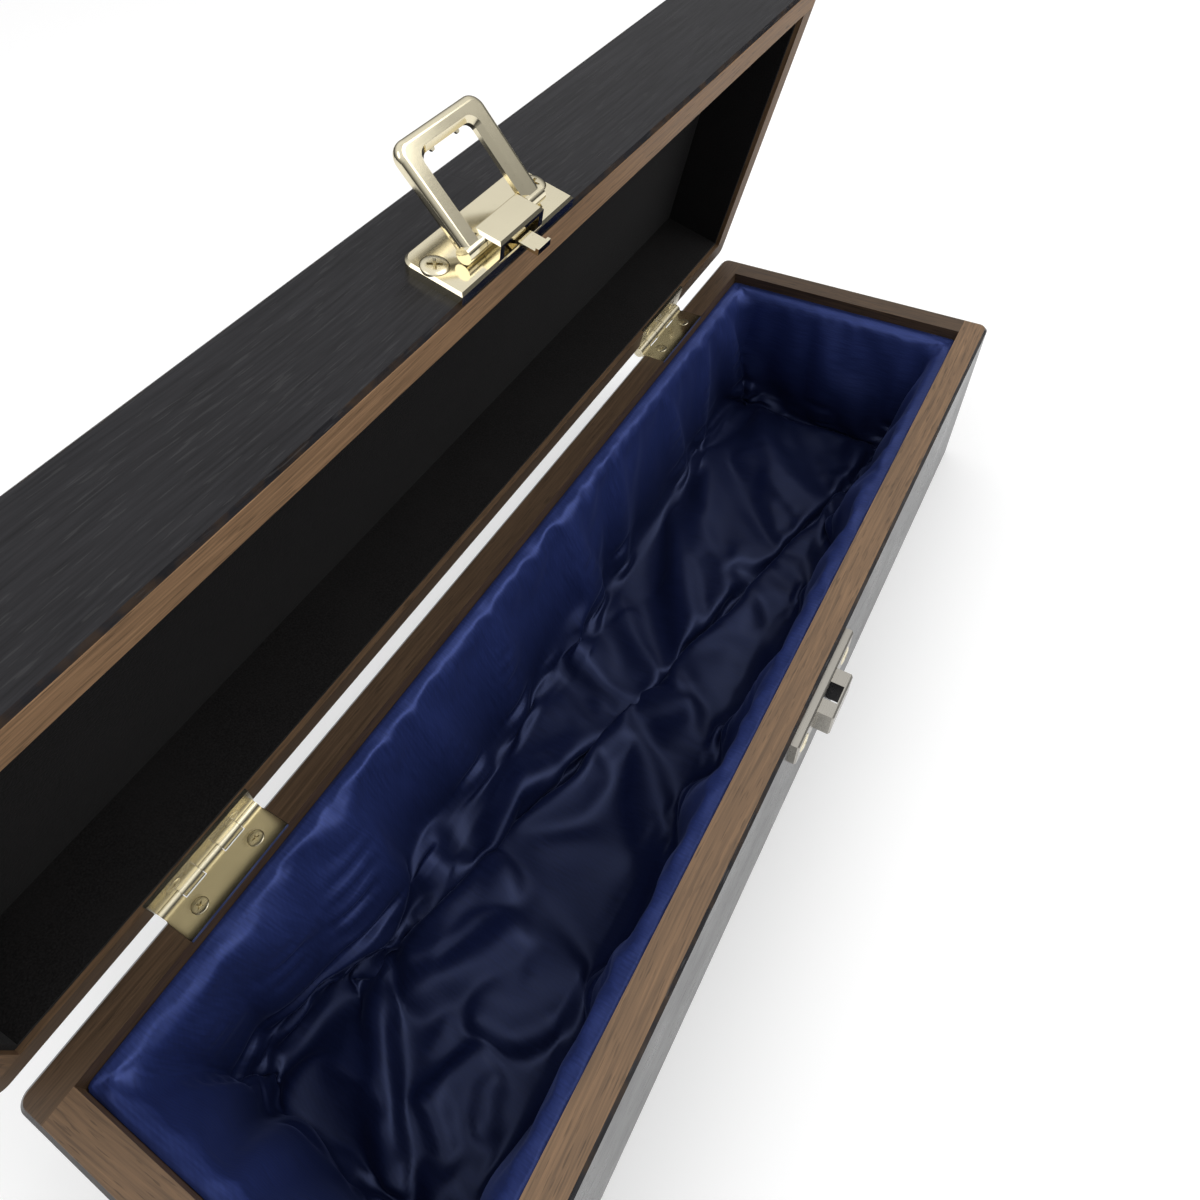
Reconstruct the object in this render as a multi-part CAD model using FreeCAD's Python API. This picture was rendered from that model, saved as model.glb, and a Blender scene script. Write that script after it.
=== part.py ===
"""Wooden wine box: a satin-lined case with a hinged lid and a ring latch on its front.

Millimetres. +X runs along the box, -Y is the latch side, +Z is up, and the origin is the middle of
the underside. The lid and what it carries are modelled closed, and then turned to the open pose.
"""
import FreeCAD, Part
import os

V = FreeCAD.Vector
TOLERANCE = 1e-4

# Case
BOX_LENGTH = 365.0
BOX_WIDTH = 115.0
BASE_HEIGHT = 68.0
LID_HEIGHT = 30.8
WALL = 9.4
BOTTOM_THICKNESS = 5.0
TOP_THICKNESS = 5.0
PANEL_REBATE = 4.5
CORNER_RADIUS = 3.5
ARRIS_BEVEL = 1.1
TOP_EDGE_RADIUS = 2.5
RIM_GAP = 0.4

# Pose at rest
LID_OPEN_ANGLE = 73.7
RING_RAISED_ANGLE = 37.9

# Fits
RUNNING_CLEARANCE = 0.05
SCREW_CLEARANCE = 0.05
INLAY_CLEARANCE = 0.1
LINING_CLEARANCE = 0.3

# Butt hinges
HINGE_LENGTH = 33.0
HINGE_INSET = 60.0
LEAF_THICKNESS = 1.1
BARREL_RADIUS = 2.0
BARREL_CLEARANCE = 0.2
HINGE_PIN_RADIUS = 1.0
KNUCKLE_COUNT = 5
KNUCKLE_GAP = 0.2
LEAF_NOTCH = 0.3
HINGE_SCREW_MARGIN = 6.9

# Screws, whose flat heads are sunk flush
HINGE_SCREW_HEAD_RADIUS = 2.2
HINGE_SCREW_HEAD_DEPTH = 0.9
HINGE_SCREW_RADIUS = 0.9
HINGE_SCREW_LENGTH = 8.0
PLATE_SCREW_HEAD_RADIUS = 3.1
PLATE_SCREW_HEAD_DEPTH = 1.8
PLATE_SCREW_RADIUS = 1.2
PLATE_SCREW_LENGTH = 8.6

# Latch plate and its bridge, on the front wall of the lid
PLATE_LENGTH = 43.0
PLATE_RISE = 16.0
PLATE_THICKNESS = 2.8
PLATE_CORNER_RADIUS = 3.2
PLATE_BEVEL = 0.6
PLATE_SCREW_MARGIN = 3.2
PLATE_SCREW_RISE = 9.3
BRIDGE_SETBACK = 0.2
BRIDGE_BACK_WALL = 1.4
BRIDGE_SIDE_WALL = 1.6
BRIDGE_COVER = 1.4
BRIDGE_BEVEL = 0.6

# Ring and its pin
PIVOT_RISE = 5.2
LATCH_PIN_RADIUS = 0.9
LATCH_PIN_ENTRY = 4.0
RING_REACH = 24.1
RING_WIDTH = 28.0
RING_OPENING = 16.9
RING_BAR = 4.4
RING_THICKNESS = 3.4
RING_CORNER_RADIUS = 3.6
RING_INNER_RADIUS = 1.8
RING_EDGE_SHARE = 0.45
RING_BEVEL_SHARE = 0.33
EYE_RADIUS = 1.9
EYE_PROUD = 0.15
EYE_PLATE_CLEARANCE = 0.2
EYE_SIDE_CLEARANCE = 0.1
NUB_RADIUS = 0.6
NUB_SPACING = 8.4

# Locating tongue, a bent strip that lies under the bridge
TONGUE_WIDTH = 4.8
TONGUE_THICKNESS = 0.8
TONGUE_FOOT = 2.4
TONGUE_LIFT = 1.2
TONGUE_LIP = 0.8
TONGUE_ENTRY = 1.4

# Keeper on the front wall of the base
KEEPER_LENGTH = 43.0
KEEPER_THICKNESS = 2.4
KEEPER_DROP = 2.4
KEEPER_MARGIN = 1.3
KEEPER_CORNER_RADIUS = 2.6
KEEPER_BEVEL = 0.5
KEEPER_SCREW_MARGIN = 5.5
BLOCK_DROP = 3.7
BLOCK_STAND = 4.9
BLOCK_SIDE_CLEARANCE = 0.5
BLOCK_END_CLEARANCE = 0.3
BLOCK_BEVEL = 0.5
SLOT_WIDTH = 6.0
SLOT_DEPTH = 4.0

# Satin lining of the base
SATIN_DROP = 3.6
SATIN_EDGE = 1.4
SATIN_FOOT = 4.8
SATIN_ROLL = 8.4
SATIN_CREST = 9.2
SATIN_VALLEY = 5.6
SATIN_ROLL_DEPTH = 13.0
SIDE_FOLDS = 6
END_FOLDS = 2
FLOOR_DEPTH = 7.6
FLOOR_FOLDS = 6
FLOOR_FOLD_HEIGHT = 3.0

# Black lining of the lid
LID_LINING_THICKNESS = 1.2
LID_LINING_DROP = 1.6

# Worked out from the sizes above
HALF_LENGTH = BOX_LENGTH / 2
HALF_WIDTH = BOX_WIDTH / 2
CAVITY_X = HALF_LENGTH - WALL
CAVITY_Y = HALF_WIDTH - WALL
LID_RIM = BASE_HEIGHT + RIM_GAP
LID_TOP = LID_RIM + LID_HEIGHT
AXIS_Y = HALF_WIDTH + BARREL_RADIUS + BARREL_CLEARANCE
AXIS_Z = BASE_HEIGHT + RIM_GAP / 2
HINGE_CENTRES = {"left": -HALF_LENGTH + HINGE_INSET, "right": HALF_LENGTH - HINGE_INSET}
LEAF_BACK = HALF_WIDTH - LEAF_NOTCH
PIVOT_STAND = PLATE_THICKNESS + EYE_PLATE_CLEARANCE + EYE_RADIUS
PIVOT_Y = -HALF_WIDTH - PIVOT_STAND
PIVOT_Z = LID_RIM + PIVOT_RISE
BRIDGE_WIDTH = RING_OPENING - 2 * (EYE_PROUD + EYE_SIDE_CLEARANCE)
BRIDGE_TOP = PIVOT_STAND + LATCH_PIN_RADIUS + BRIDGE_COVER
BRIDGE_RISE = PIVOT_RISE + LATCH_PIN_RADIUS + 2 * RUNNING_CLEARANCE + BRIDGE_BACK_WALL
RING_INNER_REACH = RING_REACH - RING_BAR
RING_EDGE_RADIUS = RING_EDGE_SHARE * RING_THICKNESS
RING_INNER_BEVEL = RING_BEVEL_SHARE * RING_THICKNESS
BLOCK_WIDTH = RING_OPENING - 2 * BLOCK_SIDE_CLEARANCE
BLOCK_TOP = BASE_HEIGHT - BLOCK_DROP
BLOCK_FOOT = PIVOT_Z - RING_INNER_REACH + NUB_RADIUS + BLOCK_END_CLEARANCE
KEEPER_TOP = BASE_HEIGHT - KEEPER_DROP
KEEPER_FOOT = BLOCK_FOOT - KEEPER_MARGIN
TONGUE_TIP = BLOCK_TOP - TONGUE_ENTRY
HINGE_SCREW = (HINGE_SCREW_HEAD_RADIUS, HINGE_SCREW_HEAD_DEPTH, HINGE_SCREW_RADIUS, HINGE_SCREW_LENGTH)
PLATE_SCREW = (PLATE_SCREW_HEAD_RADIUS, PLATE_SCREW_HEAD_DEPTH, PLATE_SCREW_RADIUS, PLATE_SCREW_LENGTH)


def block(x_low, x_high, y_low, y_high, z_low, z_high):
    """A box between two corners."""
    size = V(x_high - x_low, y_high - y_low, z_high - z_low)
    return Part.makeBox(size.x, size.y, size.z, V(x_low, y_low, z_low))


def centred(half_x, y_low, y_high, z_low, z_high):
    """A box that is symmetric about the middle of the length."""
    return block(-half_x, half_x, y_low, y_high, z_low, z_high)


def rod(radius, x_low, x_high, y, z):
    """A cylinder along the length."""
    return Part.makeCylinder(radius, x_high - x_low, V(x_low, y, z), V(1, 0, 0))


def edges_where(shape, test):
    """The edges whose two ends both pass a test."""
    return [edge for edge in shape.Edges if all(test(vertex.Point) for vertex in edge.Vertexes)]


def near(value, target):
    return abs(value - target) < TOLERANCE


def prism(points, direction):
    """A closed outline of straight lines, extruded."""
    return Part.Face(Part.makePolygon(points + points[:1])).extrude(direction)


def joined(first, *others):
    return first.fuse(list(others)).removeSplitter()


def opened(shape):
    """Turn a piece of the closed lid to the open pose."""
    turned = shape.copy()
    turned.rotate(V(0, AXIS_Y, AXIS_Z), V(1, 0, 0), -LID_OPEN_ANGLE)
    return turned


def raised(shape):
    """Turn the ring about its pin, from lying up along the lid to its raised pose."""
    turned = shape.copy()
    turned.rotate(V(0, PIVOT_Y, PIVOT_Z), V(1, 0, 0), RING_RAISED_ANGLE)
    return turned


def screw_form(size, clearance):
    """A sunk head on its shank, pointing down, with the middle of the head's face at the origin."""
    head_radius, head_depth, radius, length = size
    down = V(0, 0, -1)
    head = Part.makeCylinder(head_radius + clearance, head_depth, V(0, 0, 0), down)
    return head.fuse(Part.makeCylinder(radius + clearance, length + clearance, V(0, 0, 0), down)).removeSplitter()


def screw(size, head, direction):
    """A screw; head is the middle of its face."""
    return placed(screw_form(size, 0), head, direction)


def screw_room(size, head, direction):
    """The stepped hole that a screw sits in."""
    return placed(screw_form(size, SCREW_CLEARANCE), head, direction)


def placed(solid, head, direction):
    """Set a screw so that it points along a direction with its head at a point."""
    turn = FreeCAD.Rotation(V(0, 0, -1), direction)
    moved = solid.copy()
    moved.Placement = FreeCAD.Placement(head, turn)
    return moved


def rounded_case(z_low, z_high):
    """The outside of one half of the case, with its upright corners rounded."""
    shape = centred(HALF_LENGTH, -HALF_WIDTH, HALF_WIDTH, z_low, z_high)
    upright = [edge for edge in shape.Edges if near(edge.BoundBox.ZLength, z_high - z_low)]
    return shape.makeFillet(CORNER_RADIUS, upright)


def ring_of_edges(shape, z):
    """The edges round the outside at one height."""
    return edges_where(shape, lambda point: near(point.z, z))


def case_walls(case, z_low, z_high):
    """Cut one half of the case into two long walls and two end walls that butt between them."""
    return {
        "front": case.common(centred(HALF_LENGTH, -HALF_WIDTH, -CAVITY_Y, z_low, z_high)),
        "back": case.common(centred(HALF_LENGTH, CAVITY_Y, HALF_WIDTH, z_low, z_high)),
        "left_end": case.common(block(-HALF_LENGTH, -CAVITY_X, -CAVITY_Y, CAVITY_Y, z_low, z_high)),
        "right_end": case.common(block(CAVITY_X, HALF_LENGTH, -CAVITY_Y, CAVITY_Y, z_low, z_high)),
    }


def panel(z_low, z_high, margin):
    """A panel that lies in the rebates of the walls."""
    half_x = CAVITY_X + PANEL_REBATE + margin
    half_y = CAVITY_Y + PANEL_REBATE + margin
    return centred(half_x, -half_y, half_y, z_low, z_high)


def hinge_screw_heads(z):
    """The middles of the screw heads on the four leaves at one height."""
    reach = HINGE_LENGTH / 2 - HINGE_SCREW_MARGIN
    middle = HALF_WIDTH - WALL / 2
    return [V(centre + offset, middle, z) for centre in HINGE_CENTRES.values() for offset in (-reach, reach)]


def latch_screw_heads():
    reach = PLATE_LENGTH / 2 - PLATE_SCREW_MARGIN
    return [V(x, -HALF_WIDTH - PLATE_THICKNESS, LID_RIM + PLATE_SCREW_RISE) for x in (-reach, reach)]


def keeper_screw_heads():
    reach = KEEPER_LENGTH / 2 - KEEPER_SCREW_MARGIN
    middle = (KEEPER_TOP + KEEPER_FOOT) / 2
    return [V(x, -HALF_WIDTH - KEEPER_THICKNESS, middle) for x in (-reach, reach)]


def leaf_inlay(z_low, z_high):
    """The shallow beds that the hinge leaves are let into."""
    half = HINGE_LENGTH / 2 + INLAY_CLEARANCE
    beds = [block(x - half, x + half, CAVITY_Y, HALF_WIDTH, z_low, z_high) for x in HINGE_CENTRES.values()]
    return Part.Compound(beds)


def base_pieces():
    """The walls and bottom of the base. Screws bite into the walls, so these have no holes."""
    case = rounded_case(0, BASE_HEIGHT)
    case = case.makeChamfer(ARRIS_BEVEL, ring_of_edges(case, 0) + ring_of_edges(case, BASE_HEIGHT))
    walls = case_walls(case, 0, BASE_HEIGHT)
    rebate = panel(0, BOTTOM_THICKNESS, INLAY_CLEARANCE)
    walls = {name: wall.cut(rebate) for name, wall in walls.items()}
    walls["back"] = walls["back"].cut(leaf_inlay(BASE_HEIGHT - LEAF_THICKNESS, BASE_HEIGHT))
    return {
        "base_front_wall": walls["front"],
        "base_back_wall": walls["back"],
        "base_left_end": walls["left_end"],
        "base_right_end": walls["right_end"],
        "base_bottom_panel": panel(0, BOTTOM_THICKNESS, 0),
    }


def lid_pieces():
    """The walls and top of the lid, closed. Screws bite into the walls, so these have no holes."""
    case = rounded_case(LID_RIM, LID_TOP)
    case = case.makeChamfer(ARRIS_BEVEL, ring_of_edges(case, LID_RIM))
    case = case.makeFillet(TOP_EDGE_RADIUS, ring_of_edges(case, LID_TOP))
    walls = case_walls(case, LID_RIM, LID_TOP)
    rebate = panel(LID_TOP - TOP_THICKNESS, LID_TOP, INLAY_CLEARANCE)
    walls = {name: wall.cut(rebate) for name, wall in walls.items()}
    walls["back"] = walls["back"].cut(leaf_inlay(LID_RIM, LID_RIM + LEAF_THICKNESS))
    return {
        "lid_front_wall": walls["front"],
        "lid_back_wall": walls["back"],
        "lid_left_end": walls["left_end"],
        "lid_right_end": walls["right_end"],
        "lid_top_panel": panel(LID_TOP - TOP_THICKNESS, LID_TOP, 0),
    }


def lid_lining():
    """Thin black boards that line the inside of the lid."""
    thick = LID_LINING_THICKNESS
    low = LID_RIM + LID_LINING_DROP
    high = LID_TOP - TOP_THICKNESS
    inner_x = CAVITY_X - thick
    inner_y = CAVITY_Y - thick
    return {
        "lid_lining_panel": centred(CAVITY_X, -CAVITY_Y, CAVITY_Y, high - thick, high),
        "lid_lining_front": centred(CAVITY_X, -CAVITY_Y, -inner_y, low, high - thick),
        "lid_lining_back": centred(CAVITY_X, inner_y, CAVITY_Y, low, high - thick),
        "lid_lining_left": block(-CAVITY_X, -inner_x, -inner_y, inner_y, low, high - thick),
        "lid_lining_right": block(inner_x, CAVITY_X, -inner_y, inner_y, low, high - thick),
    }


def knuckle_spans(centre, first):
    """The stretches of barrel that one leaf carries, every second one from the first."""
    step = HINGE_LENGTH / KNUCKLE_COUNT
    start = centre - HINGE_LENGTH / 2
    spans = []
    for index in range(first, KNUCKLE_COUNT, 2):
        low = start + index * step + KNUCKLE_GAP / 2
        spans.append((low, low + step - KNUCKLE_GAP))
    return spans


def hinge_leaf(centre, first, z_low, z_high, face, screw_direction):
    """A leaf with its knuckles; the leaf is notched clear of the other leaf's knuckles."""
    half = HINGE_LENGTH / 2
    leaf = block(centre - half, centre + half, CAVITY_Y, LEAF_BACK, z_low, z_high)
    for low, high in knuckle_spans(centre, first):
        web = block(low, high, LEAF_BACK, AXIS_Y, z_low, z_high)
        leaf = leaf.fuse([web, rod(BARREL_RADIUS, low, high, AXIS_Y, AXIS_Z)])
    bore = rod(HINGE_PIN_RADIUS + RUNNING_CLEARANCE, centre - half, centre + half, AXIS_Y, AXIS_Z)
    leaf = leaf.removeSplitter().cut(bore)
    for head in hinge_screw_heads(face):
        leaf = leaf.cut(screw_room(HINGE_SCREW, head, screw_direction))
    return leaf


def hinges():
    """Both butt hinges; a base leaf has the outer knuckles, and its pin is fixed in them."""
    base, lid = {}, {}
    for side, centre in HINGE_CENTRES.items():
        base[side + "_hinge_base_leaf"] = hinge_leaf(
            centre, 0, BASE_HEIGHT - LEAF_THICKNESS, BASE_HEIGHT, BASE_HEIGHT, V(0, 0, -1))
        lid[side + "_hinge_lid_leaf"] = hinge_leaf(
            centre, 1, LID_RIM, LID_RIM + LEAF_THICKNESS, LID_RIM, V(0, 0, 1))
        half = HINGE_LENGTH / 2 - KNUCKLE_GAP / 2
        base[side + "_hinge_pin"] = rod(HINGE_PIN_RADIUS, centre - half, centre + half, AXIS_Y, AXIS_Z)
    base["base_hinge_screws"] = Part.Compound(
        [screw(HINGE_SCREW, head, V(0, 0, -1)) for head in hinge_screw_heads(BASE_HEIGHT)])
    lid["lid_hinge_screws"] = Part.Compound(
        [screw(HINGE_SCREW, head, V(0, 0, 1)) for head in hinge_screw_heads(LID_RIM)])
    return base, lid


def latch_plate():
    """The plate with its back corners rounded, and the bridge that carries the pin."""
    face = -HALF_WIDTH - PLATE_THICKNESS
    back = LID_RIM + PLATE_RISE
    plate = centred(PLATE_LENGTH / 2, face, -HALF_WIDTH, LID_RIM, back)
    plate = round_upright(plate, back, PLATE_CORNER_RADIUS)
    plate = plate.makeChamfer(PLATE_BEVEL, edges_where(plate, lambda point: near(point.y, face)))

    half = BRIDGE_WIDTH / 2
    top = -HALF_WIDTH - BRIDGE_TOP
    foot = LID_RIM + BRIDGE_SETBACK
    head = LID_RIM + BRIDGE_RISE
    bridge = centred(half, top, face + PLATE_BEVEL, foot, head)
    upper = edges_where(bridge, lambda point: near(point.y, top))
    bridge = bridge.makeChamfer(BRIDGE_BEVEL, upper)
    hollow = centred(half - BRIDGE_SIDE_WALL, top + BRIDGE_COVER, face, LID_RIM - PLATE_BEVEL,
                     head - BRIDGE_BACK_WALL)
    plate = joined(plate, bridge).cut(hollow)
    plate = plate.cut(rod(LATCH_PIN_RADIUS + RUNNING_CLEARANCE, -half, half, PIVOT_Y, PIVOT_Z))
    for spot in latch_screw_heads():
        plate = plate.cut(screw_room(PLATE_SCREW, spot, V(0, 1, 0)))
    return plate


def latch_ring():
    """The rounded loop: a bar and two legs that end in eyes round the pin, lying up along the lid."""
    half = RING_WIDTH / 2
    half_opening = RING_OPENING / 2
    half_thick = RING_THICKNESS / 2
    outer = round_upright(centred(half, -half_thick, half_thick, 0, RING_REACH), RING_REACH, RING_CORNER_RADIUS)
    inner = centred(half_opening, -half_thick, half_thick, 0, RING_INNER_REACH)
    inner = round_upright(inner, RING_INNER_REACH, RING_INNER_RADIUS)
    rim = [edge for edge in outer.Edges if near(edge.BoundBox.YLength, 0)]
    rim = [edge for edge in rim if edge.BoundBox.ZMax > RING_EDGE_RADIUS]
    ring = outer.makeFillet(RING_EDGE_RADIUS, rim).cut(inner)
    mouth = [edge for edge in ring.Edges if near(edge.BoundBox.YLength, 0)]
    mouth = [edge for edge in mouth if edge.BoundBox.XMin > -half_opening - TOLERANCE
             and edge.BoundBox.XMax < half_opening + TOLERANCE]
    ring = ring.makeChamfer(RING_INNER_BEVEL, mouth)
    reach = half_opening + LATCH_PIN_ENTRY + RUNNING_CLEARANCE
    for side in (-1, 1):
        eye_ends = sorted((side * (half_opening - EYE_PROUD), side * (half + EYE_PROUD)))
        eye = rod(EYE_RADIUS, *eye_ends, 0, 0)
        ring = ring.fuse([eye, nub(side * NUB_SPACING / 2)])
    ring = ring.removeSplitter().cut(rod(LATCH_PIN_RADIUS + RUNNING_CLEARANCE, -reach, reach, 0, 0))
    ring.translate(V(0, PIVOT_Y, PIVOT_Z))
    return ring


def nub(x):
    """One of the two nubs on the inner edge of the bar that snap under the keeper's block."""
    length = RING_THICKNESS / 2 - RING_INNER_BEVEL
    return Part.makeCylinder(NUB_RADIUS, length, V(x, 0, RING_INNER_REACH), V(0, 1, 0))


def round_upright(shape, z, radius):
    """Round the two edges along Y at one height."""
    edges = edges_where(shape, lambda point: near(point.z, z))
    return shape.makeFillet(radius, [edge for edge in edges if near(edge.BoundBox.XLength, 0)])


def latch_pin():
    reach = RING_OPENING / 2 + LATCH_PIN_ENTRY
    return rod(LATCH_PIN_RADIUS, -reach, reach, PIVOT_Y, PIVOT_Z)


def latch_tongue():
    """A strip on the plate that rises out of the bridge and ends in a lip past the rim."""
    face = -HALF_WIDTH - PLATE_THICKNESS
    thick = TONGUE_THICKNESS
    lifted = face - TONGUE_LIFT
    rear = LID_RIM + PIVOT_RISE + LATCH_PIN_RADIUS
    foot = LID_RIM + TONGUE_FOOT
    outline = [(face, rear), (face, foot), (lifted, LID_RIM), (lifted, TONGUE_TIP),
               (lifted - thick - TONGUE_LIP, TONGUE_TIP), (lifted - thick - TONGUE_LIP, TONGUE_TIP + thick),
               (lifted - thick, TONGUE_TIP + thick), (lifted - thick, LID_RIM + thick / 2),
               (face - thick, foot + thick / 2), (face - thick, rear)]
    return prism([V(-TONGUE_WIDTH / 2, y, z) for y, z in outline], V(TONGUE_WIDTH, 0, 0))


def keeper_plate():
    """The plate on the base, with the slotted block that the ring drops over."""
    face = -HALF_WIDTH - KEEPER_THICKNESS
    plate = centred(KEEPER_LENGTH / 2, face, -HALF_WIDTH, KEEPER_FOOT, KEEPER_TOP)
    plate = round_upright(plate, KEEPER_FOOT, KEEPER_CORNER_RADIUS)
    plate = plate.makeChamfer(KEEPER_BEVEL, edges_where(plate, lambda point: near(point.y, face)))
    top = face - BLOCK_STAND
    stop = centred(BLOCK_WIDTH / 2, top, face + KEEPER_BEVEL, BLOCK_FOOT, BLOCK_TOP)
    stop = stop.makeChamfer(BLOCK_BEVEL, edges_where(stop, lambda point: near(point.y, top)))
    slot = centred(SLOT_WIDTH / 2, face - SLOT_DEPTH, face, BLOCK_FOOT, BLOCK_TOP)
    keeper = joined(plate, stop).cut(slot)
    for spot in keeper_screw_heads():
        keeper = keeper.cut(screw_room(PLATE_SCREW, spot, V(0, 1, 0)))
    return keeper


def arc_through(start, middle, end):
    return Part.Arc(start, middle, end).toShape()


def outline_face(edges, points):
    """A face from edges that run from the first point to the second, closed by lines through the rest."""
    lines = [Part.LineSegment(a, b).toShape() for a, b in zip(points[1:], points[2:] + points[:1])]
    return Part.Face(Part.Wire(edges + lines))


def satin_roll(length):
    """Cloth along a wall at Y = 0 that faces +Y: it hangs from its top edge in a soft roll."""
    foot, top = BOTTOM_THICKNESS, BASE_HEIGHT - SATIN_DROP
    roll = top - SATIN_ROLL_DEPTH
    start, waist, end = V(0, SATIN_FOOT, foot), V(0, SATIN_ROLL, roll), V(0, SATIN_EDGE, top)
    lower = arc_through(start, V(0, SATIN_FOOT, (foot + roll) / 2), waist)
    upper = arc_through(waist, V(0, SATIN_ROLL - SATIN_EDGE, (roll + top) / 2), end)
    return outline_face([lower, upper], [start, end, V(0, 0, top), V(0, 0, foot)]).extrude(V(length, 0, 0))


def satin_folds(length, folds):
    """The same cloth seen from above: soft folds that sink into the roll along the wall."""
    step = length / (2 * folds)
    level = (SATIN_CREST + SATIN_VALLEY) / 2
    edges = []
    for index in range(2 * folds):
        crest = SATIN_VALLEY if index % 2 else SATIN_CREST
        points = [V(step * (index + share), depth, 0) for share, depth in ((0, level), (0.5, crest), (1, level))]
        edges.append(arc_through(*points))
    corners = [V(0, level, 0), V(length, level, 0), V(length, 0, 0), V(0, 0, 0)]
    return outline_face(edges, corners).extrude(V(0, 0, BASE_HEIGHT))


def satin_wall(start, turn, length, folds):
    """A wall lining, with its roll and folds, set at a corner of the cavity and turned to its wall."""
    cloth = satin_roll(length).common(satin_folds(length, folds))
    cloth.Placement = FreeCAD.Placement(start, FreeCAD.Rotation(V(0, 0, 1), turn))
    return cloth


def satin_floor():
    """The floor lining: a slack cloth that lies in soft waves across the box."""
    half_x = CAVITY_X - SATIN_FOOT - LINING_CLEARANCE
    half_y = CAVITY_Y - SATIN_FOOT - LINING_CLEARANCE
    level = BOTTOM_THICKNESS + FLOOR_DEPTH
    step = half_x / FLOOR_FOLDS
    edges = []
    for index in range(2 * FLOOR_FOLDS):
        crest = level + (FLOOR_FOLD_HEIGHT if index % 2 else -FLOOR_FOLD_HEIGHT)
        heights = ((0, level), (0.5, crest), (1, level))
        edges.append(arc_through(*[V(step * (index + share) - half_x, -half_y, z) for share, z in heights]))
    corners = [V(-half_x, -half_y, level), V(half_x, -half_y, level),
               V(half_x, -half_y, BOTTOM_THICKNESS), V(-half_x, -half_y, BOTTOM_THICKNESS)]
    return outline_face(edges, corners).extrude(V(0, 2 * half_y, 0))


def satin_pieces():
    """Five pieces of satin: the floor and four walls, clear of each other at the corners."""
    end_y = CAVITY_Y - SATIN_ROLL - LINING_CLEARANCE
    return {
        "satin_floor": satin_floor(),
        "satin_front": satin_wall(V(-CAVITY_X, -CAVITY_Y, 0), 0, 2 * CAVITY_X, SIDE_FOLDS),
        "satin_back": satin_wall(V(CAVITY_X, CAVITY_Y, 0), 180, 2 * CAVITY_X, SIDE_FOLDS),
        "satin_left": satin_wall(V(-CAVITY_X, end_y, 0), -90, 2 * end_y, END_FOLDS),
        "satin_right": satin_wall(V(CAVITY_X, -end_y, 0), 90, 2 * end_y, END_FOLDS),
    }


def all_pieces():
    """Every piece by name, at its place in the open pose."""
    hinge_base, hinge_lid = hinges()
    still = {**base_pieces(), **satin_pieces(), **hinge_base, "keeper_plate": keeper_plate()}
    still["keeper_screws"] = Part.Compound(
        [screw(PLATE_SCREW, head, V(0, 1, 0)) for head in keeper_screw_heads()])
    carried = {**lid_pieces(), **lid_lining(), **hinge_lid, "latch_plate": latch_plate(),
               "latch_pin": latch_pin(), "latch_tongue": latch_tongue(), "latch_ring": raised(latch_ring())}
    carried["latch_screws"] = Part.Compound(
        [screw(PLATE_SCREW, head, V(0, 1, 0)) for head in latch_screw_heads()])
    return {**still, **{name: opened(shape) for name, shape in carried.items()}}


def main():
    os.makedirs("parts", exist_ok=True)
    for name, shape in all_pieces().items():
        shape.exportStep("parts/" + name + ".step")


main()
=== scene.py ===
"""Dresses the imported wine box: stained wood, nickel hardware, flocked lid and a draped satin bed."""
import math

import bpy
from mathutils import Matrix, Vector, noise


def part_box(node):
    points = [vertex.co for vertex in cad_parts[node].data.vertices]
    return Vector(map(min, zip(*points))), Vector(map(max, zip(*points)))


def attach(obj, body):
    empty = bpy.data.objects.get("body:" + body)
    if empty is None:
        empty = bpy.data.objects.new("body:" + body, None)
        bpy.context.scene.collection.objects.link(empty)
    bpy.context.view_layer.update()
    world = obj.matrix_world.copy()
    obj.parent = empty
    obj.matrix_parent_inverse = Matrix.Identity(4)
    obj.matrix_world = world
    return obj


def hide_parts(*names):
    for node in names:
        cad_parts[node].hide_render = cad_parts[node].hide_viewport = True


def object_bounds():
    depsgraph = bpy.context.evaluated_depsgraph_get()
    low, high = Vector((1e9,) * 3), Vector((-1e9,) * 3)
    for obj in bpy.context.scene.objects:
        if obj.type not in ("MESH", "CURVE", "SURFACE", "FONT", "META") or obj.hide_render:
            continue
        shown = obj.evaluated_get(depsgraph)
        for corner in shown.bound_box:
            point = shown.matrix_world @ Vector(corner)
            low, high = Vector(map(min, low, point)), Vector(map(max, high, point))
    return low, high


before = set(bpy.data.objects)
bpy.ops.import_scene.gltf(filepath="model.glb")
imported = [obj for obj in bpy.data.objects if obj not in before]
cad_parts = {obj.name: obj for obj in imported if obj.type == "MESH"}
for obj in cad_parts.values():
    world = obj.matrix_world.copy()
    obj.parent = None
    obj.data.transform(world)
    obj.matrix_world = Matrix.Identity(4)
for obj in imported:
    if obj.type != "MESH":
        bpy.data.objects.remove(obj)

bl_info = {
    "name": "Wooden wine box",
    "version": (1, 0, 0),
    "blender": (4, 5, 0),
    "location": "3D View > Sidebar > Wine Box",
    "description": "Finishes the wood, metal and satin of a hinged wine box",
    "category": "Object",
}

CAD_BOX = [list(corner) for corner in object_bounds()]
MM = 0.001

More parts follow.
